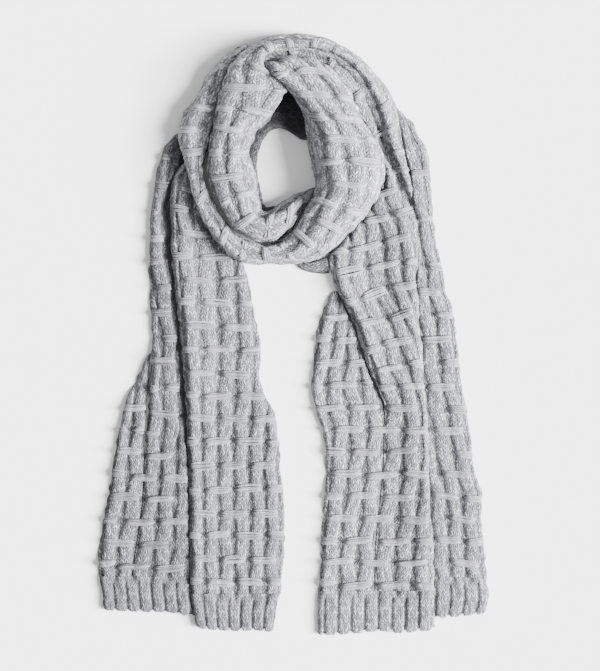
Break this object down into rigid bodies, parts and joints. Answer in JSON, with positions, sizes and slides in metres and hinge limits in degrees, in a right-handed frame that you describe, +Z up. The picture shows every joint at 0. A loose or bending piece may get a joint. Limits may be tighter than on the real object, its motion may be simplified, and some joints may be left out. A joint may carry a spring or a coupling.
{
  "type": "knitted scarf",
  "caption": "Ribbed knit scarf wound once round and laid flat, with a neck opening, folded tails and ribbed hems.",
  "frame": {"origin": "middle of the scarf's box, on the surface it lies on", "axes": "+Y away from the hems along the scarf's tails, +X to the right as seen from above, +Z up from the surface"},
  "size_m": [0.4304, 0.662, 0.0593],
  "materials": {
    "knit": "soft matt heather grey wool knit",
    "inner_knit": "the same wool, in the shade inside the winding"
  },
  "bodies": {
    "root": {"outer_coil": "knit", "inner_coil": "knit", "left_tail_front": "knit", "left_tail_back": "knit", "left_tail_side": "knit", "right_tail_inner": "knit", "right_tail_back": "knit", "left_front_hem": "knit", "left_back_hem": "knit", "right_front_hem": "knit", "right_back_hem": "knit", "under_layer": "knit", "hidden_layers": "inner_knit"}
  },
  "joints": []
}
